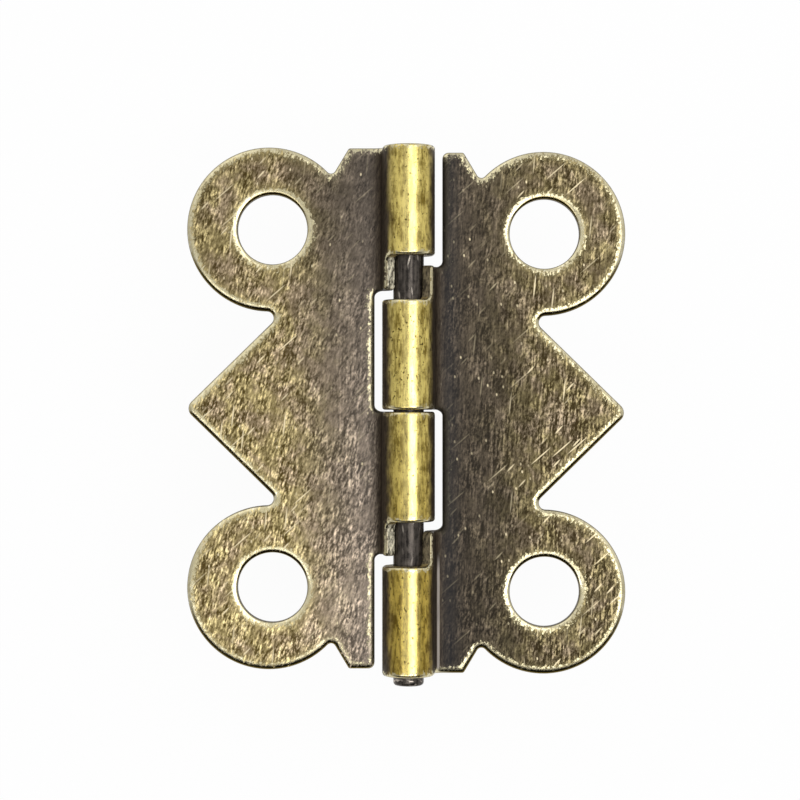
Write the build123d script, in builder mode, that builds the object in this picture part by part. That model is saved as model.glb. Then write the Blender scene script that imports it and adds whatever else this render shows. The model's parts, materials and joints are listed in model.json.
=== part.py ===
"""Small decorative butterfly hinge: two equal stamped leaves, turned end for end, and the pin they swing on.

Each leaf is one blank of plated steel sheet. It has two round ears with a screw hole each, a pointed
wing between them, and two tongues that are rolled over the pin into knuckles. A tongue is longer at
its root than at its rolled end, so the roots of the two leaves lie side by side along the pin. Their
shoulders meet as stops when the leaves swing up, and the pin shows between the rolled ends.

The hinge lies open and flat on its back. X runs across the leaves, Y along the pin and +Z out of the
front. The origin is below the pin at mid length, in the plane of the leaves' backs.
Sizes are in millimetres.
"""

import os

from build123d import *

# Sheet and pin
sheet = 0.6
pin_diameter = 1.75
pin_clearance = 0.025
pin_length = 30.1
pin_overhang = 0.55
pin_end_chamfer = 0.2

# Outline of a leaf: reaches are measured out from the pin's axis, lengths along it
leaf_length = 29.85
tab_reach = 3.29
ear_radius = 4.7
ear_reach = 7.87
ear_spacing = 20.54
wing_reach = 12.73
wing_tip_radius = 0.55
crotch_radius = 0.4
valley_radius = 0.28
tab_corner_radius = 0.15

# Where the slanted sides of the tab and the wing run into the ear, as angles round its centre
tab_to_ear_angle = 140.0
wing_to_ear_angle = 258.5

# Screw holes
screw_hole_diameter = 4.0
screw_hole_reach = 7.8
screw_hole_spacing = 20.52

# The outline is blanked in one stroke and the holes and notches are pierced in another, so the outline
# of each leaf lies a little further out or in than its nominal place
left_outline_shift = 0.13
right_outline_shift = -0.13

# Rolled tongues: one starts at the leaf's end and one starts just past its middle
bend_radius = 0.45
seam_angle = 310.0
shoulder_angle = 30.0
root_length = 8.18
knuckle_length = 6.24
middle_offset = 0.18

# Rounded corners of the notches and of the shoulders
notch_corner_radius = 0.35
shoulder_inner_radius = 0.45
shoulder_outer_radius = 0.2

# Front edges that the punch drew in
die_roll = 0.13

# How far the two leaves have slid apart along the pin
end_play = 0.25

bore_radius = pin_diameter / 2 + pin_clearance
knuckle_radius = bore_radius + sheet
axis_height = knuckle_radius
bend_start = knuckle_radius + bend_radius
bend_height = sheet + bend_radius
barrel_height = 2 * knuckle_radius
half_length = leaf_length / 2
tongue_ends = (half_length, -middle_offset)


def flat_outline(shift):
    """Outline of the flat sheet, from the start of the bends to the ears and the wing."""
    ear = Vector(ear_reach + shift, ear_spacing / 2)
    to_rim = Vector(ear_radius, 0)
    tab = Vector(tab_reach + shift, half_length)
    wing = Vector(wing_reach + shift, 0)
    with BuildSketch() as flat:
        with BuildLine():
            Polyline(
                (bend_start, 0),
                (bend_start, half_length),
                tab,
                ear + to_rim.rotate(Axis.Z, tab_to_ear_angle),
                ear,
                ear + to_rim.rotate(Axis.Z, wing_to_ear_angle),
                wing,
            )
            mirror(about=Plane.XZ)
        make_face()
        with Locations(ear, (ear.X, -ear.Y)):
            Circle(ear_radius)
        for side in (1, -1):
            ear_centre = (ear.X, side * ear.Y)
            fillet(flat.vertices().sort_by_distance(ear_centre)[:2].sort_by_distance(wing)[0], crotch_radius)
            fillet(flat.vertices().sort_by_distance(ear_centre)[:2].sort_by_distance(wing)[-1], valley_radius)
            fillet(flat.vertices().sort_by_distance((tab.X, side * tab.Y))[0], tab_corner_radius)
        fillet(flat.vertices().sort_by_distance(wing)[0], wing_tip_radius)
        fillet(flat.vertices().sort_by_distance((bend_start, half_length))[0], notch_corner_radius)
        with Locations((screw_hole_reach, 0)):
            with GridLocations(0, screw_hole_spacing, 1, 2):
                Circle(screw_hole_diameter / 2, mode=Mode.SUBTRACT)
    return flat.sketch


def tongue_section(wrap):
    """Section of a tongue that bends up from the flat sheet and wraps round the pin by an angle."""
    with BuildSketch(Plane.XZ) as section:
        with BuildLine():
            front_bend = CenterArc((bend_start, bend_height), bend_radius, 270, -90)
            back_bend = CenterArc((bend_start, bend_height), bend_radius + sheet, 270, -90)
            outside = CenterArc((0, axis_height), knuckle_radius, 0, wrap)
            inside = CenterArc((0, axis_height), bore_radius, 0, wrap)
            Line(front_bend @ 0, back_bend @ 0)
            Line(front_bend @ 1, outside @ 0)
            Line(back_bend @ 1, inside @ 0)
            Line(outside @ 1, inside @ 1)
        make_face()
    return section.sketch


def notches():
    """The two notches that leave room for the other leaf's tongues, as rounded by the punch."""
    inner_end = half_length - root_length
    outer_start = middle_offset + root_length
    with BuildSketch() as cut:
        with Locations((0, -inner_end)):
            Rectangle(bend_start, inner_end + middle_offset, align=Align.MIN)
        with Locations((0, outer_start)):
            Rectangle(bend_start, half_length, align=Align.MIN)
        for corner in (-inner_end, middle_offset, outer_start):
            fillet(cut.vertices().sort_by_distance((bend_start, corner))[0], notch_corner_radius)
    return cut.sketch


def shoulder_place(distance):
    """Middle of the sheet at the shoulder's angle, at a distance along the pin."""
    across = Vector(bore_radius + sheet / 2, 0).rotate(Axis.Z, shoulder_angle)
    return Vector(across.X, -distance, axis_height + across.Y)


def stamped_leaf(outline_shift):
    """A leaf with its back on the XY plane, its pin along Y and its wing on the +X side."""
    flat = flat_outline(outline_shift)
    root = tongue_section(shoulder_angle)
    knuckle = tongue_section(seam_angle)
    cut = notches()
    with BuildPart() as leaf:
        with BuildSketch():
            add(flat)
        extrude(amount=sheet)
        with BuildSketch(Plane.XZ):
            add(root)
        extrude(amount=half_length, both=True)
        with BuildSketch():
            add(cut)
        extrude(amount=barrel_height, mode=Mode.SUBTRACT)
        for end in tongue_ends:
            with BuildSketch(Plane.XZ.offset(end)):
                add(knuckle)
            extrude(amount=-knuckle_length)
            inner_corner = shoulder_place(end - knuckle_length)
            fillet(leaf.edges().sort_by_distance(inner_corner)[0], shoulder_inner_radius)
            outer_corner = shoulder_place(end - root_length)
            fillet(leaf.edges().sort_by_distance(outer_corner)[0], shoulder_outer_radius)
        front = leaf.faces().filter_by(Axis.Z).filter_by_position(Axis.Z, sheet, sheet)[0]
        inner_edges = front.edges().filter_by(Axis.Y).filter_by_position(Axis.X, bend_start, bend_start)
        bend_lines = inner_edges.sort_by(Axis.Y)[::2]
        chamfer(front.edges().filter_by(lambda edge: edge not in bend_lines), die_roll)
    return leaf.part


left_stamping = stamped_leaf(left_outline_shift)
right_stamping = stamped_leaf(right_outline_shift)

with BuildPart(Plane(origin=(0, end_play / 2, 0), x_dir=(-1, 0, 0))) as left_leaf:
    add(left_stamping)

with BuildPart(Plane(origin=(0, -end_play / 2, 0))) as right_leaf:
    add(right_stamping)

with BuildPart() as hinge_pin:
    pin_bottom = -half_length - end_play / 2 - pin_overhang
    with BuildSketch(Plane(origin=(0, pin_bottom, axis_height), z_dir=(0, 1, 0))):
        Circle(pin_diameter / 2)
    extrude(amount=pin_length)
    chamfer(hinge_pin.edges().filter_by(GeomType.CIRCLE), pin_end_chamfer)

left_leaf.part.label = "left_leaf"
right_leaf.part.label = "right_leaf"
hinge_pin.part.label = "hinge_pin"

os.makedirs("parts", exist_ok=True)
for piece in (left_leaf, right_leaf, hinge_pin):
    export_step(piece.part, f"parts/{piece.part.label}.step")
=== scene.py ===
"""Looks of the decorative hinge: antique bronze leaves with worn edges, on a dull wire pin.

Each leaf is drawn as the flat blank that the press cuts, meshed finely, and then bent and rolled
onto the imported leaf's place. Its vertices keep their place on the blank, so that the finish follows
the metal round the knuckles. Lengths are in metres in the meshes and in millimetres in the finishes.
"""

import json
import math
from types import SimpleNamespace

import bmesh
import bpy
import numpy as np
from mathutils import Matrix, Vector, geometry, kdtree


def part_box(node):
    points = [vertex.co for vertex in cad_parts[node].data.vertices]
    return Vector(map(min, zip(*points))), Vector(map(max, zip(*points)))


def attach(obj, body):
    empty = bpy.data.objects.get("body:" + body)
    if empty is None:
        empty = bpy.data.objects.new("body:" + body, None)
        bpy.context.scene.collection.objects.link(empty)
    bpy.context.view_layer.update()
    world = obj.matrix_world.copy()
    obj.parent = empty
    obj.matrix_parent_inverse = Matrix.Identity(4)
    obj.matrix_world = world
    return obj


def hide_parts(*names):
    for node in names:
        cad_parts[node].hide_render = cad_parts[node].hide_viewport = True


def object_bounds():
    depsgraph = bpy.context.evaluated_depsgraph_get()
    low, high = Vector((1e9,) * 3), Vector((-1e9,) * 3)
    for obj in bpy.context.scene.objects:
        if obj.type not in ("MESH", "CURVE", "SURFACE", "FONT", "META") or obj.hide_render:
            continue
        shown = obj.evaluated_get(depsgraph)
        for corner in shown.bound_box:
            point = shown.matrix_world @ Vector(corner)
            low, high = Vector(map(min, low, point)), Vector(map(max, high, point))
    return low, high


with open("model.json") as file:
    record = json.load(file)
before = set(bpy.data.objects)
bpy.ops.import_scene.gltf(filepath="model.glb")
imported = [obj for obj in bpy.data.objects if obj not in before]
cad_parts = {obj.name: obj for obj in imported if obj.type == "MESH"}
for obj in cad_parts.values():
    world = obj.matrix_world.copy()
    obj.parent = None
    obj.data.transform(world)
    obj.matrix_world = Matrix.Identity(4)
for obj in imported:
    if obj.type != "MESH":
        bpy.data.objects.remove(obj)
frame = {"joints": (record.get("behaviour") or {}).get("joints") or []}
cad_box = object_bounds()

MM = 0.001

# Sizes of the blank and its bends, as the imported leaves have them
AXIS_HEIGHT = frame["joints"][0]["pos_m"][2]
SHEET = 0.6 * MM
BEND_RADIUS = 0.45 * MM
SEAM_ANGLE = math.radians(310)
SHOULDER_ANGLE = math.radians(30)
ROOT_LENGTH = 8.18 * MM
KNUCKLE_LENGTH = 6.24 * MM
MIDDLE_OFFSET = 0.18 * MM
HALF_LENGTH = 14.925 * MM
TAB_REACH = 3.29 * MM
EAR_RADIUS = 4.7 * MM
EAR_REACH = 7.87 * MM
EAR_HEIGHT = 10.27 * MM
WING_REACH = 12.73 * MM
TAB_TO_EAR_ANGLE = math.radians(140)
WING_TO_EAR_ANGLE = math.radians(258.5)
HOLE_RADIUS = 2.0 * MM
HOLE_REACH = 7.8 * MM
HOLE_HEIGHT = 10.26 * MM
OUTLINE_SHIFT = {"left_leaf": 0.13 * MM, "right_leaf": -0.13 * MM}
HALF_PLAY = 0.125 * MM
STOP_GAP = 0.002 * MM

# Rounded corners of the blank
VALLEY_RADIUS = 0.28 * MM
CROTCH_RADIUS = 0.4 * MM
TAB_CORNER_RADIUS = 0.15 * MM
WING_TIP_RADIUS = 0.55 * MM
NOTCH_CORNER_RADIUS = 0.35 * MM
STEP_INNER_RADIUS = 0.45 * MM
STEP_OUTER_RADIUS = 0.2 * MM
KNUCKLE_CORNER_RADIUS = 0.16 * MM

BORE_RADIUS = AXIS_HEIGHT - SHEET
BEND_START = AXIS_HEIGHT + BEND_RADIUS
BEND_RUN = (BEND_RADIUS + SHEET / 2) * math.pi / 2
RISE_RUN = AXIS_HEIGHT - SHEET - BEND_RADIUS
ROLL_START = BEND_START - BEND_RUN - RISE_RUN
ROLL_RADIUS = BORE_RADIUS + SHEET / 2
STEP_PLACE = ROLL_START - ROLL_RADIUS * SHOULDER_ANGLE + STOP_GAP
SEAM_PLACE = ROLL_START - ROLL_RADIUS * SEAM_ANGLE

# Rounding of the cut edges, which the press and the tumbling leave wide and shallow
DIE_ROLL_REACH, DIE_ROLL_DROP = 0.42 * MM, 0.2 * MM
TONGUE_ROLL_REACH, TONGUE_ROLL_DROP = 0.16 * MM, 0.15 * MM
HOLE_ROLL_REACH, HOLE_ROLL_DROP = 0.36 * MM, 0.13 * MM
BACK_ROUND = 0.04 * MM
PIN_END_ROUND = 0.2 * MM

# How fine the meshes are. Rim rows and loose rows follow the cut edges, at these distances from them.
RIM_STEP = 0.1 * MM
FEWEST_ARC_STEPS = 3
WALL_ROWS = 5
RIM_ROWS = (0.008 * MM, 0.03 * MM, 0.065 * MM, 0.11 * MM)
LOOSE_ROWS = (0.17 * MM, 0.24 * MM, 0.32 * MM, 0.41 * MM)
LOOSE_ROW_TOLERANCE = RIM_STEP / 20
GRID_STEP = 0.17 * MM
GRID_ROW_STEP = GRID_STEP * math.sqrt(0.75)
GRID_CLEARANCE = LOOSE_ROWS[-1] + RIM_STEP / 2
TRIANGLE_TOLERANCE_MM = 1e-6
PIN_SIDES = 96
PIN_RINGS = 240
PIN_END_RINGS = 6
PIN_JOIN_DISTANCE = 0.0001 * MM

# Floor and camera
FLOOR_HALF_SIDE = 1.0
FLOOR_CLEARANCE = 0.2 * MM
CAMERA_PLACE = (-0.487 * MM, 0.607 * MM)
CAMERA_DISTANCE = 120 * MM
SHOWN_WIDTH = 45.84 * MM
SENSOR_WIDTH = 36
CLIP_RANGE = (0.01, 5)

# Soft lamps: place, sides across and along the pin, and power in watts
LAMPS = {
    "strip": ((0.085, 0.03, 0.26), (0.175, 0.24), 0.25),
    "low_strip": ((0.085, -0.025, 0.26), (0.12, 0.085), 0.07),
    "front": ((0.0, -0.09, 0.26), (0.36, 0.045), 0.13),
}

# Strengths of the sky, and the share of the seen floor that glows white
SKY_OVERHEAD = 0.26
SKY_AT_HORIZON = 0.7
FLOOR_GLOW = 0.95


def srgb(red, green, blue):
    """Linear colour of a colour as written on a screen, each from 11 to 255."""
    return (*(((value / 255 + 0.055) / 1.055) ** 2.4 for value in (red, green, blue)), 1.0)


# Colours of the leaves' plates
PLATE_DARK = srgb(68, 55, 20)
PLATE_LIGHT = srgb(242, 223, 182)
BARED_METAL = srgb(222, 207, 170)
# Near black, for the plate darker beside the barrel
BARREL_DARKENING = srgb(37, 38, 42)
# Pale line, a painted highlight along the fold in front of the barrel
FOLD_HIGHLIGHT = srgb(190, 180, 170)

# Colours of the barrel
BRASS_DARK = srgb(140, 119, 50)
BRASS_LIGHT = srgb(244, 222, 130)
# Paler brass on the crown: partly wear, partly a painted highlight
BRASS_CROWN_HIGHLIGHT = srgb(250, 233, 158)
BRASS_SPECK = srgb(96, 80, 30)
DULL_DARK = srgb(44, 36, 28)
DULL_LIGHT = srgb(82, 71, 57)

# Colours of the rims and the cut walls
# Near black, painted as the shade in the slots between the leaf and the knuckles
SLOT_SHADE = srgb(24, 20, 16)
WORN_DARK = srgb(212, 201, 160)
WORN_LIGHT = srgb(250, 244, 220)
# Brown at the rims' outer edge by the wall: partly patina, partly painted shade
WALL_EDGE_BROWN_AND_SHADE = srgb(62, 50, 26)
# Olive, painted as shade on the rims whose roll faces down
DOWN_RIM_SHADE = srgb(118, 102, 50)
WALL_DARK = srgb(30, 24, 15)
WALL_LIGHT = srgb(92, 79, 50)
TONGUE_WALL_DARK = srgb(74, 61, 34)
TONGUE_WALL_LIGHT = srgb(168, 148, 98)
STEP_DARK = srgb(46, 39, 27)

# Colours of the pin
WIRE_DARK = srgb(36, 32, 29)
WIRE_LIGHT = srgb(92, 85, 78)
WIRE_RUBBED = srgb(205, 194, 180)

# Tints, which multiply a colour, as linear values
ROSIER = (1.0, 0.94, 0.98, 1)
YELLOWER = (1.02, 1.005, 0.77, 1)
DEEPER = (0.74, 0.67, 0.46, 1)

# Colours of the floor and the lights, as linear values
WHITE = (1, 1, 1, 1)
FLOOR_GREY = (0.9, 0.9, 0.9, 1)

# Where the finishes change, in millimetres. Each change is gradual, from the first place to the second.
# These places are on the blank, out from the pin.
TO_YELLOWER = (2.2, 7.5)
TO_NO_BARREL_DARKENING = (2.1, 3.4)
TO_DULL_RIM = (3.2, 2.2)
TO_DULL_INNER_RIM = (2.08, 1.98)
TO_WIDER_RIM = (0.0, 2.0)
ONTO_FLAT = (1.8, 2.6)
OFF_FLAT = (2.6, 2.0)
ONTO_BEND = (1.3, 1.8)
FOLD_PLACE = 1.5
INTO_FOLD = (0.2, 0.1)
ONTO_BARREL = (BEND_START / MM + 0.5, BEND_START / MM - 0.6)
ONTO_TONGUE = (0.0, -0.25)
OFF_TONGUE = (-0.25, 0.1)
ONTO_STEP = (-0.5, -0.38)

# These places are along the pin.
FROM_END_TO_END = (-12, 12)
ONTO_LEAF_END = (14.3, 14.7)
# Where the painted highlight on the fold begins, towards the blank's lower end
ONTO_FOLD_HIGHLIGHT = (-7.9, -9.2)
OFF_PIN_HEAD = (14.45, 14.3)
OFF_PIN_FOOT = (-15.55, -15.4)
ONTO_BURR_FROM_ABOVE = (-15.15, -15.25)
ONTO_BURR_FROM_BELOW = (-15.58, -15.5)

# These are heights in the sheet, and then distances from its cut edge.
ONTO_FRONT = (0.5, 0.56)
BELOW_RIM = (0.52, 0.44)
YELLOW_BORDER = (1.1, 0.3)
SLOT_SHADE_BORDER = (0.16, 0.04)
RIM_BORDER = (0.38, 0.08)
RIM_SHINE_BORDER = (0.26, 0.08)
DOWN_RIM_SHADE_BORDER = (0.22, 0.12)
WALL_EDGE_BROWN_AND_SHADE_BORDER = (0.08, 0.0)
WALL_BORDER = (0.03, 0.0)

# These are turns round the barrel from its most rubbed line, which is also where its painted highlight sits,
# in radians.
TO_RUBBED = (1.12, 0.5)
TO_CROWN_HIGHLIGHT = (0.5, 0.08)

# Depth of the grain's relief
LEAF_RELIEF = 0.004 * MM
WIRE_RELIEF = 0.01 * MM

# What differs between the leaves. Near and far say how bright the plate is beside the pin and away from it,
# and the two contrasts how strong its grain is there, each at the lower and the upper end of the blank. The
# left
# plate is much brighter than the right: partly patina and polish, partly a painted sheen.
# barrel_darkening, fold_highlight and inner_dull are shares: how much darker the plate is beside the barrel,
# how strong the painted highlight on the fold is, and how dull the rims beside the barrel are. The grain's
# turn is in degrees. The plate gets polished over the polish_run, out from the pin, and the brass deeper
# over the deep_run, along it, both in millimetres.
# The shift gives each leaf its own noises.
LEFT_LOOK = {
    "grain_turn": 72,
    "shift": 0.0,
    "polish_run": (3.8, 8.5),
    "near": (0.43, 1.17),
    "far": (0.9, 1.25),
    "near_contrast": (2.6, 5.0),
    "far_contrast": (4.5, 5.2),
    "most_rubbed_and_lit": math.radians(94),
    "barrel_darkening": 0.15,
    "fold_highlight": 0.0,
    "inner_dull": 0.2,
    "deep_run": (-4.0, 14.0),
    "near_dark": srgb(78, 70, 62),
    "near_light": srgb(230, 209, 186),
    # The step faces are painted pale on this leaf, as if lit
    "step_painted_light": srgb(236, 228, 200),
}
RIGHT_LOOK = {
    "grain_turn": 85,
    "shift": 37.0,
    "polish_run": (3.4, 9.6),
    "near": (0.185, 0.31),
    "far": (0.51, 0.61),
    "near_contrast": (4.4, 4.0),
    "far_contrast": (6.8, 5.0),
    "most_rubbed_and_lit": math.radians(86),
    "barrel_darkening": 0.6,
    "fold_highlight": 0.9,
    "inner_dull": 0.95,
    "deep_run": (-2.0, -10.0),
    "near_dark": srgb(78, 69, 58),
    "near_light": srgb(230, 206, 176),
    # The step faces are painted darker on this leaf, as if shaded
    "step_painted_light": srgb(122, 110, 84),
}


def polar(radius, angle):
    """Place at a distance and an angle from the origin."""
    return np.array((radius * math.cos(angle), radius * math.sin(angle)))


def unit(vector):
    """The vector at a length of 1."""
    return vector / np.linalg.norm(vector)


def arc(centre, radius, start, sweep):
    """Points along an arc, a rim step apart."""
    count = max(FEWEST_ARC_STEPS, math.ceil(abs(sweep) * radius / RIM_STEP))
    return [centre + polar(radius, start + sweep * i / count) for i in range(count + 1)]


def turn_between(centre, start, end, long_way_down=False):
    """Start angle and sweep about a centre, by the short way or clockwise all the way round."""
    first = math.atan2(*(start - centre)[::-1])
    sweep = math.atan2(*(end - centre)[::-1]) - first
    sweep = (sweep + math.pi) % (2 * math.pi) - math.pi
    if long_way_down and sweep > 0:
        sweep -= 2 * math.pi
    return first, sweep


def ear_fillet(start, end, ear, radius, near_start):
    """Centre and tangent points of the fillet between a straight side and the ear."""
    along = unit(end - start)
    aside = np.array((-along[1], along[0]))
    offset = start + aside * radius - ear
    half = offset @ along
    root = math.sqrt(half**2 - offset @ offset + (EAR_RADIUS + radius) ** 2)
    centre = ear + offset + along * (-half - root if near_start else -half + root)
    on_ear = ear + (centre - ear) * EAR_RADIUS / (EAR_RADIUS + radius)
    return centre, centre - aside * radius, on_ear


def ear_run(tab, wing, ear):
    """Points from the tab's slanted side round the ear to the wing's flank."""
    tab_side_end = ear + polar(EAR_RADIUS, TAB_TO_EAR_ANGLE)
    flank_start = ear + polar(EAR_RADIUS, WING_TO_EAR_ANGLE)
    valley = ear_fillet(tab, tab_side_end, ear, VALLEY_RADIUS, near_start=True)
    crotch = ear_fillet(flank_start, wing, ear, CROTCH_RADIUS, near_start=False)
    round_ear = turn_between(ear, valley[2], crotch[2], long_way_down=True)
    run = arc(valley[0], VALLEY_RADIUS, *turn_between(*valley))
    run += arc(ear, EAR_RADIUS, *round_ear)[1:-1]
    return run + arc(crotch[0], CROTCH_RADIUS, *turn_between(crotch[0], crotch[2], crotch[1]))


def rounded(corners):
    """Closed path through corners, each rounded by its own radius."""
    path = []
    places = [np.array(place, float) for place, radius in corners]
    radii = [radius for place, radius in corners]
    for i, (place, radius) in enumerate(zip(places, radii)):
        if radius == 0:
            path.append(place)
            continue
        before = unit(places[i - 1] - place)
        after = unit(places[(i + 1) % len(places)] - place)
        half = math.acos(np.clip(before @ after, -1, 1)) / 2
        centre = place + unit(before + after) * radius / math.sin(half)
        start, end = (place + side * radius / math.tan(half) for side in (before, after))
        path += arc(centre, radius, *turn_between(centre, start, end))
    return path


def spaced(path):
    """The closed path with its long straight runs cut into rim steps."""
    fine = []
    for start, end in zip(path, path[1:] + path[:1]):
        count = max(1, round(np.linalg.norm(end - start) / RIM_STEP))
        fine += [start + (end - start) * i / count for i in range(count)]
    return np.array(fine)


def blank_outline(shift):
    """Outline of the flat blank. X runs out from the pin, Y along it."""
    tab = np.array((TAB_REACH + shift, HALF_LENGTH))
    wing = np.array((WING_REACH + shift, 0.0))
    ear = np.array((EAR_REACH + shift, EAR_HEIGHT))
    corners = []
    for knuckle_start, next_start in ((-HALF_LENGTH, MIDDLE_OFFSET), (MIDDLE_OFFSET, HALF_LENGTH)):
        knuckle_end = knuckle_start + KNUCKLE_LENGTH
        root_end = knuckle_start + ROOT_LENGTH
        corners += [
            ((SEAM_PLACE, knuckle_start), KNUCKLE_CORNER_RADIUS),
            ((SEAM_PLACE, knuckle_end), KNUCKLE_CORNER_RADIUS),
            ((STEP_PLACE, knuckle_end), STEP_INNER_RADIUS),
            ((STEP_PLACE, root_end), STEP_OUTER_RADIUS),
            ((BEND_START, root_end), NOTCH_CORNER_RADIUS),
            ((BEND_START, next_start), NOTCH_CORNER_RADIUS),
        ]
    upper = [(tab, TAB_CORNER_RADIUS)]
    upper += [(place, 0) for place in ear_run(tab, wing, ear)]
    lower = [((place[0], -place[1]), radius) for place, radius in reversed(upper)]
    corners += [*upper, (wing, WING_TIP_RADIUS), *lower]
    return spaced(rounded(corners))


def hole_outline(side):
    """Outline of a screw hole, run the other way round from the blank's."""
    count = round(2 * math.pi * HOLE_RADIUS / RIM_STEP)
    centre = np.array((HOLE_REACH, side * HOLE_HEIGHT))
    return np.array([centre + polar(HOLE_RADIUS, 2 * math.pi * i / count) for i in range(count)])


def inset(loop, distance):
    """The loop moved into the metal by a distance."""
    ahead = np.roll(loop, -1, 0) - loop
    ahead /= np.linalg.norm(ahead, axis=1)[:, None]
    after = np.stack((ahead[:, 1], -ahead[:, 0]), 1)
    before = np.roll(after, 1, 0)
    return loop + distance * (after + before) / (1 + np.sum(after * before, 1))[:, None]


def inside(points, loops):
    """Which of the points lie within the outline and outside the holes."""
    odd = np.zeros(len(points), bool)
    for loop in loops:
        for start, end in zip(loop, np.roll(loop, -1, 0)):
            spans = (start[1] > points[:, 1]) != (end[1] > points[:, 1])
            if spans.any():
                reach = start[0] + (points[spans, 1] - start[1]) * (end - start)[0] / (end - start)[1]
                odd[spans] ^= points[spans, 0] < reach
    return odd


def grid_inside(loops):
    """Points of an even grid of triangles that lie on the blank."""
    low, high = loops[0].min(0), loops[0].max(0)
    points = [
        (x, y)
        for i, y in enumerate(np.arange(low[1], high[1], GRID_ROW_STEP))
        for x in np.arange(low[0] + GRID_STEP / 2 * (i % 2), high[0], GRID_STEP)
    ]
    points = np.array(points)
    return points[inside(points, loops)]


def edge_finder(loops):
    """What finds the nearest point of the cut edges."""
    rim = np.vstack(loops)
    finder = kdtree.KDTree(len(rim))
    for i, (x, y) in enumerate(rim):
        finder.insert((x, y, 0), i)
    finder.balance()
    return finder


def bent(blank):
    """Places in space of points on the blank: how far out, how far along the pin, how high in the sheet."""
    out, along, height = blank.T
    run = BEND_START - out
    bend = np.clip(run, 0, BEND_RUN) / (BEND_RADIUS + SHEET / 2)
    reach = BEND_RADIUS + SHEET - height
    x = np.maximum(out, BEND_START) - reach * np.sin(bend)
    z = BEND_RADIUS + SHEET - reach * np.cos(bend) + np.clip(run - BEND_RUN, 0, RISE_RUN)
    roll = np.maximum(run - BEND_RUN - RISE_RUN, 0) / ROLL_RADIUS
    x = np.where(roll > 0, (BORE_RADIUS + height) * np.cos(roll), x)
    z = np.where(roll > 0, AXIS_HEIGHT + (BORE_RADIUS + height) * np.sin(roll), z)
    return np.stack((x, along, z), 1)


def rolled_over(gap, out, at_hole):
    """How far the front of the sheet lies below its full height, at a distance from its cut edge."""
    places = (STEP_PLACE, BEND_START)
    reach = np.interp(out, places, (TONGUE_ROLL_REACH, DIE_ROLL_REACH))
    drop = np.interp(out, places, (TONGUE_ROLL_DROP, DIE_ROLL_DROP))
    reach = np.where(at_hole, HOLE_ROLL_REACH, reach)
    drop = np.where(at_hole, HOLE_ROLL_DROP, drop)
    left = np.clip(1 - gap / reach, 0, 1)
    return drop * (1 - np.sqrt(1 - left**2))


def rows_over_edge(loop, at_hole):
    """Rows from the back over the wall to the front, each with its distance from the edge and its height."""
    wall = SHEET - rolled_over(0, loop[:, 0], at_hole) - BACK_ROUND
    rows = [(RIM_ROWS[-1], 0), (BACK_ROUND, 0), (BACK_ROUND / 4, BACK_ROUND / 4), (0, BACK_ROUND)]
    rows += [(0, BACK_ROUND + wall * i / WALL_ROWS) for i in range(1, WALL_ROWS + 1)]
    return rows + [(gap, SHEET - rolled_over(gap, loop[:, 0], at_hole)) for gap in RIM_ROWS]


def raised(points, height):
    """Flat points at a height, or each at its own."""
    return [(x, y, z) for (x, y), z in zip(points, np.broadcast_to(height, len(points)))]


def strip_faces(start, row_count, row_length):
    """Faces between closed rows of vertices, which are numbered from start."""
    low = start + row_length * np.arange(row_count - 1)[:, None] + np.arange(row_length)
    beside = np.roll(low, -1, 1)
    return np.stack((low, beside, beside + row_length, low + row_length), 2).reshape(-1, 4).tolist()


def middle_points(loops, rims, finder):
    """Points of the sheet within its rims: rows that follow the cut edges, and then an even grid."""
    points = [
        (point, gap - LOOSE_ROW_TOLERANCE)
        for gap in LOOSE_ROWS
        for loop in loops
        for point in inset(loop, gap)
    ]
    points += [(point, GRID_CLEARANCE) for point in grid_inside(rims)]
    return np.array([point for point, least_gap in points if finder.find((*point, 0))[2] > least_gap])


def triangulated(rims, middle):
    """Triangles of the sheet between the points of its rims, which are numbered first, and its middle."""
    flat = np.vstack([*rims, middle])
    links, first = [], 0
    for rim in rims:
        links += [(first + i, first + (i + 1) % len(rim)) for i in range(len(rim))]
        first += len(rim)
    points = [Vector(point) for point in flat / MM]
    made = geometry.delaunay_2d_cdt(points, links, [], 0, TRIANGLE_TOLERANCE_MM)
    assert len(made[0]) == len(flat), "the outline crosses itself"
    triangles = np.array(made[2])
    return triangles[inside(flat[triangles].mean(1), rims)]


def leaf_mesh(name, side):
    """A leaf's mesh. Side is 1 for the right leaf, and -1 for the left one, which is turned end for end."""
    loops = [blank_outline(OUTLINE_SHIFT[name]), hole_outline(1), hole_outline(-1)]
    blank, gaps, faces = [], [], []
    front_rim, back_rim = [], []
    for loop, at_hole in zip(loops, (False, True, True)):
        rows = rows_over_edge(loop, at_hole)
        start = len(blank)
        for gap, height in rows:
            blank += raised(inset(loop, gap), height)
            gaps += [gap] * len(loop)
        faces += strip_faces(start, len(rows), len(loop))
        back_rim += range(start, start + len(loop))
        front_rim += range(len(blank) - len(loop), len(blank))

    finder = edge_finder(loops)
    rims = [inset(loop, RIM_ROWS[-1]) for loop in loops]
    middle = middle_points(loops, rims, finder)
    triangles = triangulated(rims, middle)
    nearest = [finder.find((x, y, 0)) for x, y in middle]
    middle_gaps = np.array([gap for place, index, gap in nearest])
    at_hole = np.array([index >= len(loops[0]) for place, index, gap in nearest])
    front = SHEET - rolled_over(middle_gaps, middle[:, 0], at_hole)
    for rim, height in ((front_rim, front), (back_rim, 0.0)):
        numbers = np.array([*rim, *range(len(blank), len(blank) + len(middle))])
        blank += raised(middle, height)
        gaps += list(middle_gaps)
        faces += numbers[triangles].tolist()

    blank = np.array(blank)
    places = bent(blank)
    places[:, :2] *= side
    places[:, 1] -= side * HALF_PLAY
    mesh = closed_mesh(name, places.tolist(), faces)
    keep_on_mesh(mesh, "blank", "FLOAT_VECTOR", "vector", blank / MM)
    keep_on_mesh(mesh, "edge", "FLOAT", "value", np.array(gaps) / MM)
    return mesh


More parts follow.
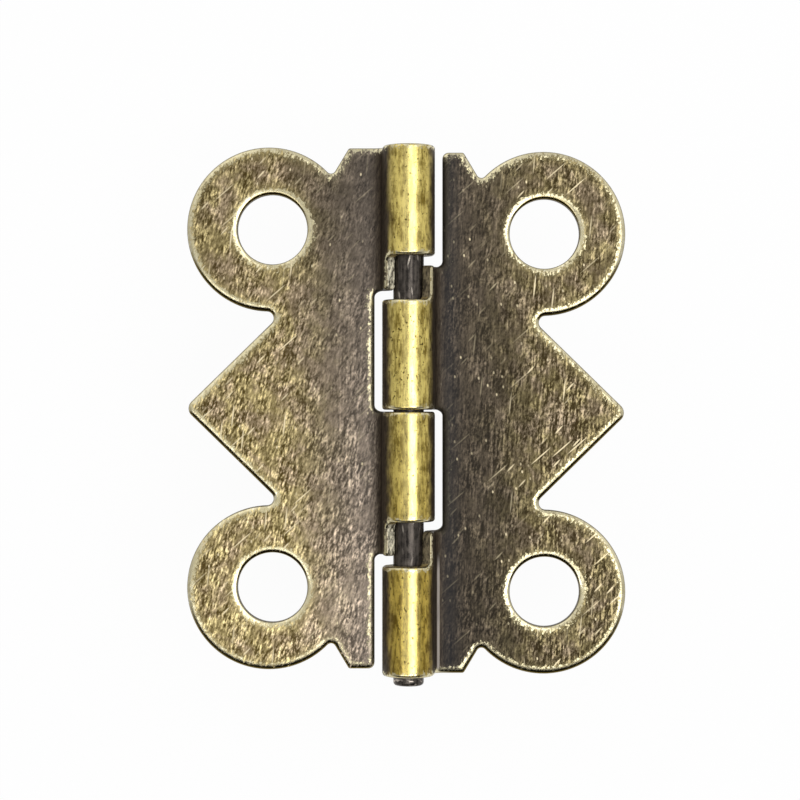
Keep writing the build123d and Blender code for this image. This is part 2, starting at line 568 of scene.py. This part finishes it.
def pin_mesh(low, high):
    """The pin as a lathed wire with rounded ends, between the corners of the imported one's box."""
    radius = (high.x - low.x) / 2
    half = [(low.y, 0.0), (low.y, radius / 2)]
    for i in range(PIN_END_RINGS + 1):
        highlight_lean = math.pi / 2 * i / PIN_END_RINGS
        into_end = PIN_END_ROUND * (1 - math.cos(highlight_lean))
        half.append((low.y + into_end, radius - PIN_END_ROUND * (1 - math.sin(highlight_lean))))
    straight = np.linspace(low.y + 2 * PIN_END_ROUND, high.y - 2 * PIN_END_ROUND, PIN_RINGS)
    profile = half + [(y, radius) for y in straight]
    profile += [(low.y + high.y - y, ring_radius) for y, ring_radius in reversed(half)]
    vertices = []
    for y, ring_radius in profile:
        for i in range(PIN_SIDES):
            across = polar(ring_radius, 2 * math.pi * i / PIN_SIDES)
            vertices.append((across[0], y, AXIS_HEIGHT + across[1]))
    faces = strip_faces(0, len(profile), PIN_SIDES)
    return closed_mesh("hinge_pin", vertices, faces, PIN_JOIN_DISTANCE)


def closed_mesh(name, vertices, faces, join_distance=0.0):
    """A smooth mesh that faces outwards, with its vertices joined where they lie this near together."""
    mesh = bpy.data.meshes.new(name)
    mesh.from_pydata(vertices, [], faces)
    work = bmesh.new()
    work.from_mesh(mesh)
    if join_distance > 0:
        bmesh.ops.remove_doubles(work, verts=work.verts, dist=join_distance)
    bmesh.ops.recalc_face_normals(work, faces=work.faces)
    for face in work.faces:
        face.smooth = True
    work.to_mesh(mesh)
    work.free()
    return mesh


def keep_on_mesh(mesh, name, kind, field, values):
    """Store a value for each vertex, which the materials read by name."""
    mesh.attributes.new(name, kind, "POINT").data.foreach_set(field, np.ravel(values))


def add_piece(mesh, body, node, material):
    """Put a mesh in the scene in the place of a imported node."""
    piece = bpy.data.objects.new(node + "_finish", mesh)
    bpy.context.scene.collection.objects.link(piece)
    mesh.materials.append(material)
    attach(piece, body)
    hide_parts(node)


class Nodes:
    """Short ways to add shader nodes to a material or a world."""

    def __init__(self, owner):
        owner.use_nodes = True
        self.tree = owner.node_tree
        self.tree.nodes.clear()

    def add(self, kind, output=0, settings=None, **inputs):
        """Add a node, set or link its inputs, and return one of its outputs. Input i2 is the third one."""
        node = self.tree.nodes.new(kind)
        for name, value in (settings or {}).items():
            setattr(node, name, value)
        for name, value in inputs.items():
            key = int(name[1:]) if name[1:].isdigit() else name.replace("_", " ")
            socket = node.inputs[key]
            if isinstance(value, bpy.types.NodeSocket):
                self.tree.links.new(value, socket)
            else:
                socket.default_value = value
        return node.outputs[output]

    def split(self, vector):
        """The three parts of a vector."""
        return self.add("ShaderNodeSeparateXYZ", Vector=vector).node.outputs

    def math(self, operation, a, b=0.0, c=0.0, clamp=False):
        """Result of one of Blender's operations on up to three values."""
        settings = {"operation": operation, "use_clamp": clamp}
        return self.add("ShaderNodeMath", settings=settings, i0=a, i1=b, i2=c)

    def total(self, *shares):
        """Sum of values, each given with its share."""
        result = 0.0
        for value, share in shares:
            result = self.math("MULTIPLY_ADD", value, share, result)
        return result

    def times(self, first, *others, clamp=False):
        """Product of values, held between 0 and 1 where asked."""
        for other in others:
            first = self.math("MULTIPLY", first, other, clamp=clamp)
        return first

    def highest(self, first, *others):
        """The highest of the values."""
        for other in others:
            first = self.math("MAXIMUM", first, other)
        return first

    def opposite(self, value, share=1.0):
        """What is left of 1 without a share of a value."""
        return self.math("MULTIPLY_ADD", value, -share, 1.0)

    def distance(self, a, b):
        """How far apart two values are."""
        return self.math("ABSOLUTE", self.math("SUBTRACT", a, b))

    def swayed(self, value, noise, share, clamp=False):
        """Value moved up and down by a share of a noise about 0.5."""
        return self.math("MULTIPLY_ADD", self.math("SUBTRACT", noise, 0.5), share, value, clamp)

    def between(self, share, first, second):
        """Value part of the way from the first to the second."""
        return self.total((first, self.opposite(share)), (second, share))

    def span(self, value, run, to=(0.0, 1.0), kind="SMOOTHSTEP"):
        """Value taken gently from one range to another, and held at its ends."""
        settings = {"interpolation_type": kind, "clamp": True}
        return self.add(
            "ShaderNodeMapRange", settings=settings, i0=value, i1=run[0], i2=run[1], i3=to[0], i4=to[1]
        )

    def ramp(self, value, run, to):
        """Value taken in a straight line from one range to another, and held at its ends."""
        return self.span(value, run, to, "LINEAR")

    def mix(self, share, first, second, blend="MIX"):
        """Blend of two colours."""
        settings = {"data_type": "RGBA", "blend_type": blend, "clamp_factor": True}
        return self.add("ShaderNodeMix", 2, settings, i0=share, i6=first, i7=second)

    def tinted(self, colour, tint):
        """Colour multiplied by another, or by a value."""
        return self.mix(1.0, colour, tint, "MULTIPLY")

    def turned(self, place, cell, turn, shift):
        """Place counted in cells of a size, turned by degrees and shifted on the blank."""
        return self.add(
            "ShaderNodeMapping",
            settings={"vector_type": "TEXTURE"},
            Vector=place,
            Location=shift,
            Rotation=(0, 0, math.radians(turn)),
            Scale=cell,
        )

    def noise(self, place, cell, turn=0.0, shift=0.0, detail=3.0, roughness=0.6):
        """Noise about 0.5, from cells of a size, turned on the blank. Lengths are those of the place."""
        turned = self.turned(place, cell, turn, (shift, shift / 2, shift / 3))
        return self.add("ShaderNodeTexNoise", Vector=turned, Scale=1.0, Detail=detail, Roughness=roughness)

    def marks(self, place, cell, turn, shift, width, share):
        """Straight marks of random strength, about one to each cell of a size, turned on the blank."""
        turned = self.turned(place, (*cell, 1), turn - 90, (shift, shift / 2, 0))
        settings = {"voronoi_dimensions": "2D"}
        spot = self.add("ShaderNodeTexVoronoi", settings=settings, Vector=turned, Scale=1.0).node.outputs
        strength = self.add("ShaderNodeSeparateColor", i0=spot["Color"])
        full_width = width * 0.45
        inside_mark = self.span(spot["Distance"], (width, full_width))
        return self.times(inside_mark, self.ramp(strength, (1 - share, 1.0), to=(0.0, 1.0)))

    def finish(self, surface, kind="ShaderNodeOutputMaterial"):
        """Link the surface to an output node."""
        output = self.tree.nodes.new(kind)
        self.tree.links.new(surface, output.inputs["Surface"])


def blank_fields(nodes):
    """Where a point lies on the blank, how far from the cut edge, and which way its surface faces."""
    place = nodes.add("ShaderNodeAttribute", "Vector", {"attribute_name": "blank"})
    out, along, height = nodes.split(place)
    return SimpleNamespace(
        place=place,
        out=out,
        along=along,
        height=height,
        edge=nodes.add("ShaderNodeAttribute", "Fac", {"attribute_name": "edge"}),
        facing=nodes.split(nodes.add("ShaderNodeTexCoord", "Normal")),
        at_end=nodes.span(nodes.distance(along, 0.0), ONTO_LEAF_END),
        on_flat=nodes.span(out, ONTO_FLAT),
    )


def grain_fields(nodes, place, look):
    """Grain of the sheet: fine strokes near one direction, with nicks, pits, chips and long scratches."""
    turn, shift = look["grain_turn"], look["shift"]
    strokes = nodes.noise(place, cell=(0.12, 0.7, 0.5), turn=turn - 90, shift=shift)
    crossed = nodes.noise(place, cell=(0.12, 0.5, 0.5), turn=turn - 115, shift=shift + 5)
    drawn = nodes.noise(place, cell=(0.13, 2.8, 0.5), shift=shift + 8)
    flecks = nodes.noise(place, cell=(0.15, 0.2, 0.2), shift=shift + 11, roughness=0.7)
    cloud = nodes.noise(place, cell=(1.6, 2.2, 2.0), turn=20, shift=shift + 17, roughness=0.5)
    patch = nodes.noise(place, cell=(0.7, 1.1, 1.0), turn=turn - 90, shift=shift + 18)
    calm = nodes.noise(place, cell=(0.9, 1.6, 1.0), turn=turn - 90, shift=shift + 27)
    grain = nodes.total((strokes, 0.32), (crossed, 0.17), (drawn, 0.16), (flecks, 0.25), (patch, 0.1))
    bare = nodes.total((strokes, 0.5), (flecks, 0.25), (patch, 0.25))
    pits = nodes.total((crossed, 0.4), (flecks, 0.35), (patch, 0.25))
    nicks = nodes.highest(
        nodes.marks(place, cell=(0.18, 0.6), turn=turn + 4, shift=shift + 13, width=0.34, share=0.4),
        nodes.marks(place, cell=(0.24, 0.5), turn=turn - 24, shift=shift + 15, width=0.25, share=0.3),
    )
    scratches = nodes.highest(
        nodes.marks(place, cell=(0.6, 4.0), turn=47, shift=shift + 21, width=0.095, share=0.6),
        nodes.marks(place, cell=(0.6, 9.0), turn=84, shift=shift + 31, width=0.09, share=0.6),
        nodes.marks(place, cell=(0.45, 8.0), turn=41, shift=shift + 41, width=0.11, share=0.5),
    )
    chips = nodes.marks(place, cell=(0.45, 0.8), turn=turn + 12, shift=shift + 23, width=0.14, share=0.16)
    return SimpleNamespace(
        grain=grain,
        drawn=drawn,
        flecks=flecks,
        cloud=cloud,
        calm=calm,
        bare=nodes.span(bare, (0.54, 0.64)),
        pits=nodes.span(pits, (0.47, 0.38)),
        nicks=nicks,
        scratches=scratches,
        chips=chips,
    )


def from_near_to_far(nodes, along, polish, near, far):
    """Value that goes from near the pin to far from it, each given at the blank's lower and upper end."""
    near = nodes.ramp(along, FROM_END_TO_END, near)
    far = nodes.ramp(along, FROM_END_TO_END, far)
    return nodes.between(polish, near, far)


def plate_finish(nodes, blank, sheet, look):
    """Colour of the plate, brown by the barrel and yellower away from it, and how bright its grain is. The
    plate's brightness is partly patina and polish, partly a painted sheen.
    """
    polish = nodes.span(nodes.swayed(blank.out, sheet.cloud, 5.0), look["polish_run"])
    # Brightness from near to far: partly patina and polish, partly a painted sheen
    brightness_and_sheen = from_near_to_far(nodes, blank.along, polish, look["near"], look["far"])
    contrast = from_near_to_far(nodes, blank.along, polish, look["near_contrast"], look["far_contrast"])
    contrast = nodes.times(contrast, nodes.span(sheet.calm, (0.36, 0.62), to=(0.5, 1.5)))
    stroke = nodes.swayed(0.44, sheet.grain, contrast, clamp=True)
    stroke = nodes.math("POWER", stroke, 2.0)
    bare_share = nodes.span(polish, (0, 1), to=(0.02, 0.14))
    nick_share = nodes.span(polish, (0, 1), to=(0.14, 0.45))
    stroke = nodes.total((stroke, 1.0), (sheet.bare, bare_share), (sheet.nicks, nick_share))
    stroke = nodes.times(stroke, nodes.opposite(sheet.pits, 0.6))

    warmth = nodes.span(blank.out, TO_YELLOWER)
    dark = nodes.mix(warmth, look["near_dark"], PLATE_DARK)
    light = nodes.mix(warmth, look["near_light"], PLATE_LIGHT)
    colour = nodes.tinted(nodes.mix(stroke, dark, light), brightness_and_sheen)
    hue_noise = nodes.noise(blank.place, cell=(1.3, 1.7, 1.0), turn=30, shift=look["shift"] + 19)
    hue = nodes.highest(nodes.span(hue_noise, (0.38, 0.62)), nodes.span(blank.edge, YELLOW_BORDER))
    hued = nodes.tinted(colour, nodes.mix(hue, ROSIER, YELLOWER))
    colour = nodes.mix(warmth, colour, hued)

    scratch_share = nodes.span(polish, (0, 1), to=(0.25, 1.4))
    bared = nodes.highest(nodes.times(sheet.scratches, scratch_share, clamp=True), sheet.chips)
    colour = nodes.mix(nodes.times(bared, 0.9), colour, BARED_METAL)
    # Darker beside the barrel, more on the right leaf
    darkening_share = nodes.span(blank.out, TO_NO_BARREL_DARKENING, to=(look["barrel_darkening"], 0.0))
    return nodes.mix(darkening_share, colour, BARREL_DARKENING), stroke


def barrel_finish(nodes, blank, sheet, look):
    """Barrel's colour, how far it is rubbed to brass over its top, and the long streaks in it. The crown is
    painted paler, partly as wear and partly as a painted highlight.
    """
    shift = look["shift"]
    turn = nodes.math("MULTIPLY_ADD", blank.out, -MM / ROLL_RADIUS, ROLL_START / ROLL_RADIUS)
    from_top = nodes.distance(turn, look["most_rubbed_and_lit"])
    streak = nodes.noise(blank.place, cell=(0.15, 1.0, 0.5), shift=shift + 61, detail=4, roughness=0.65)
    dab = nodes.noise(blank.place, cell=(0.45, 1.3, 0.5), shift=shift + 71)
    specks = nodes.noise(blank.place, cell=(0.11, 0.2, 0.2), shift=shift + 81, detail=2, roughness=0.5)
    rubbed = nodes.span(nodes.swayed(from_top, dab, -0.5), TO_RUBBED)
    tone = nodes.total((streak, 0.55), (dab, 0.3), (sheet.flecks, 0.15))
    brass = nodes.mix(nodes.span(tone, (0.4, 0.58)), BRASS_DARK, BRASS_LIGHT)
    deeper = nodes.mix(nodes.span(blank.along, look["deep_run"]), WHITE, DEEPER)
    brass = nodes.tinted(brass, deeper)
    # Painted highlight: the crown made paler, partly wear
    brass = nodes.mix(nodes.span(from_top, TO_CROWN_HIGHLIGHT, to=(0.0, 0.42)), brass, BRASS_CROWN_HIGHLIGHT)
    brass = nodes.mix(nodes.span(specks, (0.62, 0.7)), brass, BRASS_SPECK)
    dull = nodes.mix(nodes.span(sheet.grain, (0.4, 0.6)), DULL_DARK, DULL_LIGHT)
    return nodes.mix(rubbed, dull, brass), rubbed, streak


def fold_highlight_share(nodes, blank, sheet, look):
    """Where a painted highlight lies along the fold in front of the barrel, only at the blank's lower end.
    """
    in_fold = nodes.span(nodes.distance(blank.out, FOLD_PLACE), INTO_FOLD)
    lower_end = nodes.span(blank.along, ONTO_FOLD_HIGHLIGHT)
    on_front = nodes.span(blank.height, ONTO_FRONT)
    strength = nodes.span(sheet.drawn, (0.3, 0.5), to=(0.5 * look["fold_highlight"], look["fold_highlight"]))
    return nodes.times(in_fold, lower_end, on_front, strength)


def slot_shade_share(nodes, blank):
    """Painted shade on the tongues' edges along the notches, between the flat of the leaf and the rise."""
    at_edge = nodes.span(blank.edge, SLOT_SHADE_BORDER)
    off_flat = nodes.span(blank.out, OFF_FLAT)
    on_bend = nodes.math("SUBTRACT", nodes.span(blank.out, ONTO_BEND), blank.at_end)
    return nodes.times(at_edge, off_flat, on_bend, clamp=True)


def rim_share(nodes, blank, sheet, look):
    """Where the rims are rubbed bright, with ragged borders, which they hardly are beside the barrel. On the
    flat the bright band is a little wider where the rims lean down or sideways, partly wear and partly a
    painted highlight.
    """
    ragged = nodes.swayed(blank.edge, sheet.grain, 1.7)
    ragged = nodes.swayed(ragged, sheet.cloud, 0.35)
    ragged = nodes.swayed(ragged, sheet.flecks, 0.9)
    ragged = nodes.times(ragged, nodes.span(blank.out, TO_WIDER_RIM, to=(1.5, 1.0)))

    # On the flat, the rims that lean down or sideways are bright a little wider: partly wear, partly a
    # painted highlight
    highlight_lean = nodes.total((nodes.distance(blank.facing[0], 0.0), 0.6), (blank.facing[1], -1.0))
    highlight_lean = nodes.times(nodes.span(highlight_lean, (0.0, 0.06), to=(0.0, 0.1)), blank.on_flat)
    rim = nodes.span(nodes.math("SUBTRACT", ragged, highlight_lean), RIM_BORDER)

    beside_barrel = nodes.times(
        nodes.span(blank.out, TO_DULL_RIM),
        nodes.span(blank.out, OFF_TONGUE),
        nodes.opposite(blank.at_end),
        nodes.span(blank.out, TO_DULL_INNER_RIM, to=(look["inner_dull"], 0.95)),
    )
    return nodes.times(rim, nodes.opposite(beside_barrel))


def worn_and_shaded_rim_colour(nodes, blank, stroke):
    """Colour of the rubbed rims: pale, but brown at the wall, partly patina and partly painted shade, and
    olive on the edges that face down, which is painted shade.
    """
    colour = nodes.mix(stroke, WORN_DARK, WORN_LIGHT)
    # Brown by the wall: partly patina, partly painted shade of the steep outer roll
    colour = nodes.mix(nodes.span(blank.edge, WALL_EDGE_BROWN_AND_SHADE_BORDER, to=(0.0, 0.85)), colour, WALL_EDGE_BROWN_AND_SHADE)
    # Painted shade: olive on the rims that face down
    faces_down = nodes.span(blank.facing[1], (-0.1, -0.3))
    near_edge = nodes.span(blank.edge, DOWN_RIM_SHADE_BORDER)
    return nodes.mix(nodes.times(faces_down, near_edge, blank.on_flat), colour, DOWN_RIM_SHADE)


def wall_finish(nodes, blank, look):
    """Colour of the cut walls, which are torn and dark below, and where they are. The step faces are painted
    pale as if lit on the left leaf, and darker as if shaded on the right.
    """
    shift = look["shift"]
    wall = nodes.times(nodes.span(blank.edge, WALL_BORDER), nodes.span(blank.height, BELOW_RIM))
    torn = nodes.noise(blank.place, cell=(0.09, 0.09, 0.4), shift=shift + 91, roughness=0.65)
    cracked = nodes.noise(blank.place, cell=(0.3, 0.34, 0.12), shift=shift + 97, detail=4, roughness=0.75)
    on_tongue = nodes.span(blank.out, ONTO_TONGUE)
    on_step = nodes.times(on_tongue, nodes.span(blank.out, ONTO_STEP), nodes.opposite(blank.at_end))
    plain = nodes.mix(nodes.span(torn, (0.4, 0.62)), WALL_DARK, WALL_LIGHT)
    tongue = nodes.mix(nodes.span(torn, (0.36, 0.6)), TONGUE_WALL_DARK, TONGUE_WALL_LIGHT)
    step = nodes.mix(nodes.span(cracked, (0.38, 0.62)), STEP_DARK, look["step_painted_light"])
    colour = nodes.mix(on_step, nodes.mix(on_tongue, plain, tongue), step)
    return colour, wall


def antique_bronze(name, look):
    """Brass darkened brown, and rubbed back to bright metal on the barrel, the rims and the open plate."""
    material = bpy.data.materials.new(name)
    nodes = Nodes(material)
    blank = blank_fields(nodes)
    sheet = grain_fields(nodes, blank.place, look)
    plate_colour, stroke = plate_finish(nodes, blank, sheet, look)
    barrel_colour, rubbed, streak = barrel_finish(nodes, blank, sheet, look)
    wall_colour, wall = wall_finish(nodes, blank, look)
    rim = rim_share(nodes, blank, sheet, look)
    on_barrel = nodes.span(blank.out, ONTO_BARREL)

    colour = nodes.mix(on_barrel, plate_colour, barrel_colour)
    # Painted highlight along the fold in front of the barrel
    colour = nodes.mix(fold_highlight_share(nodes, blank, sheet, look), colour, FOLD_HIGHLIGHT)
    # Painted shade along the notches beside the knuckles
    colour = nodes.mix(slot_shade_share(nodes, blank), colour, SLOT_SHADE)
    colour = nodes.mix(rim, colour, worn_and_shaded_rim_colour(nodes, blank, stroke))
    colour = nodes.mix(wall, colour, wall_colour)

    shine = nodes.highest(nodes.times(on_barrel, rubbed), rim)
    outer_rim = nodes.times(rim, nodes.span(blank.edge, RIM_SHINE_BORDER))
    rough = nodes.ramp(shine, (0, 1), to=(0.5, 0.27))
    rough = nodes.total((rough, 1.0), (stroke, -0.08), (outer_rim, -0.12), (wall, 0.35))
    metal = nodes.times(nodes.ramp(shine, (0, 1), to=(0.7, 1.0)), nodes.span(wall, (0, 1), to=(1.0, 0.2)))
    streak_share = nodes.times(on_barrel, 0.3)
    relief = nodes.total((sheet.grain, 0.2), (sheet.scratches, -0.25), (streak, streak_share))
    bump = nodes.add("ShaderNodeBump", Height=relief, Strength=1.0, Distance=LEAF_RELIEF)
    surface = nodes.add(
        "ShaderNodeBsdfPrincipled",
        Base_Color=colour,
        Metallic=metal,
        Roughness=rough,
        Normal=bump,
        Specular_IOR_Level=0.3,
    )
    nodes.finish(surface)
    return material


def wire_steel():
    """Drawn wire, dull and dark, with rub marks along it and a bright burr round its lower end."""
    material = bpy.data.materials.new("wire_steel")
    nodes = Nodes(material)
    metres = nodes.add("ShaderNodeTexCoord", "Object")
    place = nodes.add("ShaderNodeVectorMath", settings={"operation": "SCALE"}, i0=metres, Scale=1 / MM)
    along = nodes.split(place)[1]
    drawn = nodes.noise(place, cell=(0.12, 1.6, 0.12), detail=4)
    spots = nodes.noise(place, cell=(0.3, 0.4, 0.3))
    tone = nodes.total((drawn, 0.6), (spots, 0.4))
    colour = nodes.mix(nodes.span(tone, (0.36, 0.66)), WIRE_DARK, WIRE_LIGHT)
    rubs = nodes.highest(
        nodes.marks(place, cell=(0.5, 3.2), turn=76, shift=0.1, width=0.12, share=0.8),
        nodes.marks(place, cell=(0.45, 2.6), turn=97, shift=0.3, width=0.11, share=0.7),
    )
    rubs = nodes.times(rubs, nodes.span(along, OFF_PIN_FOOT), nodes.span(along, OFF_PIN_HEAD), 0.75)
    burr_noise = nodes.noise(place, cell=(0.5, 0.3, 0.4), shift=0.7, detail=1, roughness=0.5)
    burr = nodes.times(
        nodes.span(along, ONTO_BURR_FROM_ABOVE),
        nodes.span(along, ONTO_BURR_FROM_BELOW),
        nodes.span(burr_noise, (0.5, 0.58)),
        0.8,
    )
    colour = nodes.mix(nodes.highest(rubs, burr), colour, WIRE_RUBBED)
    rough = nodes.span(spots, (0.3, 0.7), to=(0.24, 0.4))
    bump = nodes.add("ShaderNodeBump", Height=tone, Strength=1.0, Distance=WIRE_RELIEF)
    surface = nodes.add(
        "ShaderNodeBsdfPrincipled", Base_Color=colour, Metallic=0.8, Roughness=rough, Normal=bump
    )
    nodes.finish(surface)
    return material


def white_floor():
    """A pale floor that the camera and the metal see as white, with the object's shadow kept on it.

    It is clear from below, so that the hinge's back can be looked at too.
    """
    material = bpy.data.materials.new("white_floor")
    nodes = Nodes(material)
    ray = nodes.add("ShaderNodeLightPath").node.outputs
    plain = nodes.add("ShaderNodeBsdfDiffuse", Color=FLOOR_GREY)
    glow = nodes.add("ShaderNodeEmission", Color=WHITE, Strength=1.0)
    clear = nodes.add("ShaderNodeBsdfTransparent")
    seen = nodes.highest(ray["Is Camera Ray"], ray["Is Glossy Ray"])
    top = nodes.add("ShaderNodeMixShader", i0=nodes.times(seen, FLOOR_GLOW), i1=plain, i2=glow)
    from_below = nodes.add("ShaderNodeNewGeometry", "Backfacing")
    nodes.finish(nodes.add("ShaderNodeMixShader", i0=from_below, i1=top, i2=clear))
    return material


def add_floor():
    """The floor, just lower than the right leaf's tip when that leaf hangs at the joint's limit."""
    side = FLOOR_HALF_SIDE
    mesh = bpy.data.meshes.new("floor")
    corners = [(-side, -side, 0), (side, -side, 0), (side, side, 0), (-side, side, 0)]
    mesh.from_pydata(corners, [], [(0, 1, 2, 3)])
    mesh.materials.append(white_floor())
    floor = bpy.data.objects.new("floor", mesh)
    floor.location.z = AXIS_HEIGHT - cad_box[1][0] - FLOOR_CLEARANCE
    bpy.context.scene.collection.objects.link(floor)


def add_lamp(name, place, size, power):
    """A soft rectangular lamp that faces the hinge, with its second side along the pin."""
    data = bpy.data.lights.new(name, "AREA")
    data.shape = "RECTANGLE"
    data.size, data.size_y = size
    data.energy = power
    lamp = bpy.data.objects.new(name, data)
    back = Vector(place).normalized()
    across = Vector((0, 1, 0)).cross(back).normalized()
    lamp.matrix_world = Matrix((across, back.cross(across), back)).transposed().to_4x4()
    lamp.location = place
    bpy.context.scene.collection.objects.link(lamp)


def add_camera():
    """Straight down on the hinge, as the photograph was taken."""
    data = bpy.data.cameras.new("camera")
    data.sensor_width = SENSOR_WIDTH
    data.lens = SENSOR_WIDTH * CAMERA_DISTANCE / SHOWN_WIDTH
    data.clip_start, data.clip_end = CLIP_RANGE
    camera = bpy.data.objects.new("camera", data)
    camera.location = (*CAMERA_PLACE, CAMERA_DISTANCE + SHEET)
    bpy.context.scene.collection.objects.link(camera)
    bpy.context.scene.camera = camera


def add_sky():
    """Studio surroundings: bright beyond the hinge's upper end and sides, dim overhead, dark at its foot."""
    world = bpy.data.worlds.new("studio")
    bpy.context.scene.world = world
    nodes = Nodes(world)
    x, y, z = nodes.split(nodes.add("ShaderNodeTexCoord", "Generated"))
    beyond = nodes.span(y, (-0.15, 0.75), to=(0.0, 0.6))
    left = nodes.span(x, (-0.1, -0.3), to=(0.0, 0.5))
    left = nodes.times(left, nodes.ramp(x, (-1.0, -0.35), to=(0.25, 1.0)))
    right = nodes.span(x, (0.4, 0.7), to=(0.0, 0.3))
    strength = nodes.total((beyond, 1.0), (left, 1.0), (right, 1.0), (SKY_OVERHEAD, 1.0))
    strength = nodes.times(strength, nodes.span(y, (-0.44, -0.2), to=(0.03, 1.0)))
    near_horizon = nodes.span(z, (0.36, 0.12))
    strength = nodes.between(near_horizon, strength, SKY_AT_HORIZON)
    seen = nodes.add("ShaderNodeLightPath", "Is Camera Ray")
    strength = nodes.between(seen, strength, 1.0)
    background = nodes.add("ShaderNodeBackground", Color=WHITE, Strength=strength)
    nodes.finish(background, "ShaderNodeOutputWorld")


left_bronze = antique_bronze("antique_bronze_left", LEFT_LOOK)
right_bronze = antique_bronze("antique_bronze_right", RIGHT_LOOK)
add_piece(leaf_mesh("left_leaf", -1), "left_leaf", "left_leaf", left_bronze)
add_piece(leaf_mesh("right_leaf", 1), "right_leaf", "right_leaf", right_bronze)
add_piece(pin_mesh(*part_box("hinge_pin")), "left_leaf", "hinge_pin", wire_steel())

add_floor()
add_camera()
add_sky()
for name, (place, size, power) in LAMPS.items():
    add_lamp(name, place, size, power)
bpy.context.scene.view_settings.view_transform = "Standard"
